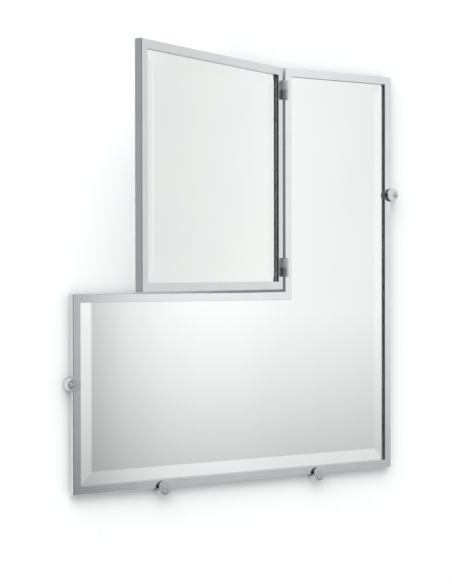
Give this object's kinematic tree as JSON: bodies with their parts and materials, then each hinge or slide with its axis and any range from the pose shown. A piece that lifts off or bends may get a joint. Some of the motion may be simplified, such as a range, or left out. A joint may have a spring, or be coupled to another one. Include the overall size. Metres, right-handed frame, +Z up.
{
  "type": "wall mirror",
  "caption": "L-shaped bevelled wall mirror in a polished metal frame, with a hinged bevelled panel that swings out of its upper corner notch.",
  "frame": {"origin": "on the wall plane, behind the middle of the frame's overall width and height", "axes": "+X to the viewer's right, +Y into the wall, +Z up"},
  "size_m": [0.57, 0.1872, 0.61],
  "materials": {
    "frame_steel": "mirror-polished stainless steel bar, mitred and welded",
    "mirror_glass": "silvered float glass with a ground and polished bevel",
    "edge_tape": "soft white cushion tape",
    "setting_rubber": "matt dark rubber",
    "backing_sheet": "satin sheet",
    "clip_steel": "satin stamped strip",
    "screw_steel": "bright turned steel",
    "fixing_steel": "turned and mirror-polished",
    "pad_nylon": "soft white plastic",
    "hinge_steel": "turned and polished",
    "washer_nylon": "pale plastic",
    "cushion_foam": "grey closed-cell foam",
    "cover_sheet": "satin sheet with a fine grain",
    "bumper_rubber": "matt black rubber"
  },
  "bodies": {
    "root": {"bottom_rail": "frame_steel", "right_stile": "frame_steel", "top_rail": "frame_steel", "hinge_stile": "frame_steel", "notch_rail": "frame_steel", "left_stile": "frame_steel", "main_mirror_glass": "mirror_glass", "main_edge_tape": "edge_tape", "main_setting_blocks": "setting_rubber", "main_cushion_sheet": "cushion_foam", "main_backing_sheet": "backing_sheet", "backing_clips": "clip_steel", "clip_screws": "screw_steel", "left_fixing": "fixing_steel", "right_fixing": "fixing_steel", "lower_left_fixing": "fixing_steel", "lower_right_fixing": "fixing_steel", "fixing_pads": "pad_nylon", "fixing_screws": "screw_steel", "lower_hinge_fixed_knuckle": "hinge_steel", "lower_hinge_pin": "hinge_steel", "lower_hinge_washer": "washer_nylon", "upper_hinge_fixed_knuckle": "hinge_steel", "upper_hinge_pin": "hinge_steel", "upper_hinge_washer": "washer_nylon"},
    "swing_panel": {"panel_bottom_rail": "frame_steel", "panel_hinge_stile": "frame_steel", "panel_top_rail": "frame_steel", "panel_free_stile": "frame_steel", "panel_mirror_glass": "mirror_glass", "panel_edge_tape": "edge_tape", "panel_setting_blocks": "setting_rubber", "panel_cushion_sheet": "cushion_foam", "panel_back_cover": "cover_sheet", "panel_cover_screws": "screw_steel", "panel_bumpers": "bumper_rubber", "lower_hinge_panel_knuckle": "hinge_steel", "upper_hinge_panel_knuckle": "hinge_steel"}
  },
  "joints": [
    {"name": "panel_swing", "type": "hinge", "parent": "root", "child": "swing_panel", "pos_m": [0.07325, -0.016, 0.1375], "axis": [0, 0, 1], "range_deg": [-23.4, 151.6]}
  ]
}
